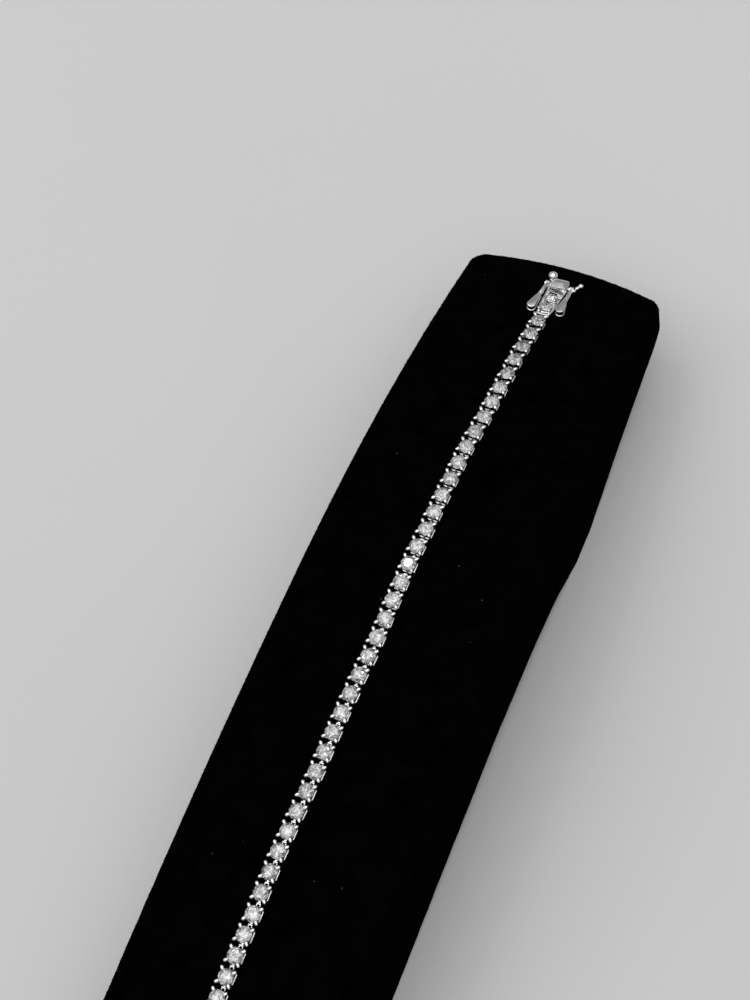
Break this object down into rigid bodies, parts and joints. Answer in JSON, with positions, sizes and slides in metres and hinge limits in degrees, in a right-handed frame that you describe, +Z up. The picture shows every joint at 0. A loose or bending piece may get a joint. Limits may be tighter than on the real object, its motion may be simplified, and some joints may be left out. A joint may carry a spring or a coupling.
{
  "type": "tennis bracelet on a velvet display ramp",
  "caption": "Straight row of round stones in hinged four-prong settings, with a box clasp and two safety latches, laid open along an arched velvet ramp.",
  "frame": {"origin": "on the table, under the middle of the display ramp's box", "axes": "+Y along the bracelet towards the clasp with the safety latches, +Z up, X across the bracelet"},
  "size_m": [0.038, 0.197, 0.0332],
  "materials": {
    "velvet": "black velvet pile",
    "white_metal": "polished, bright plated white metal",
    "stone": "clear brilliant-cut stone"
  },
  "bodies": {
    "bracelet_and_ramp": {"display_ramp": "velvet", "bracelet_links_1": "white_metal", "bracelet_links_2": "white_metal", "bracelet_links_3": "white_metal", "bracelet_links_4": "white_metal", "bracelet_links_5": "white_metal", "bracelet_links_6": "white_metal", "bracelet_links_7": "white_metal", "bracelet_links_8": "white_metal", "clasp_body": "white_metal", "clasp_stone_1": "stone", "clasp_stone_2": "stone", "thumb_press": "white_metal", "end_clasp_box": "white_metal"},
    "latch_left": {"safety_latch_left": "white_metal"},
    "latch_right": {"safety_latch_right": "white_metal"}
  },
  "joints": [
    {"name": "latch_left_hinge", "type": "hinge", "parent": "bracelet_and_ramp", "child": "latch_left", "pos_m": [0, 0.09258, 0.01998], "axis": [-1, 0, 0], "range_deg": [0, 165]},
    {"name": "latch_right_hinge", "type": "hinge", "parent": "bracelet_and_ramp", "child": "latch_right", "pos_m": [0, 0.09258, 0.01998], "axis": [-1, 0, 0], "range_deg": [0, 160]}
  ]
}
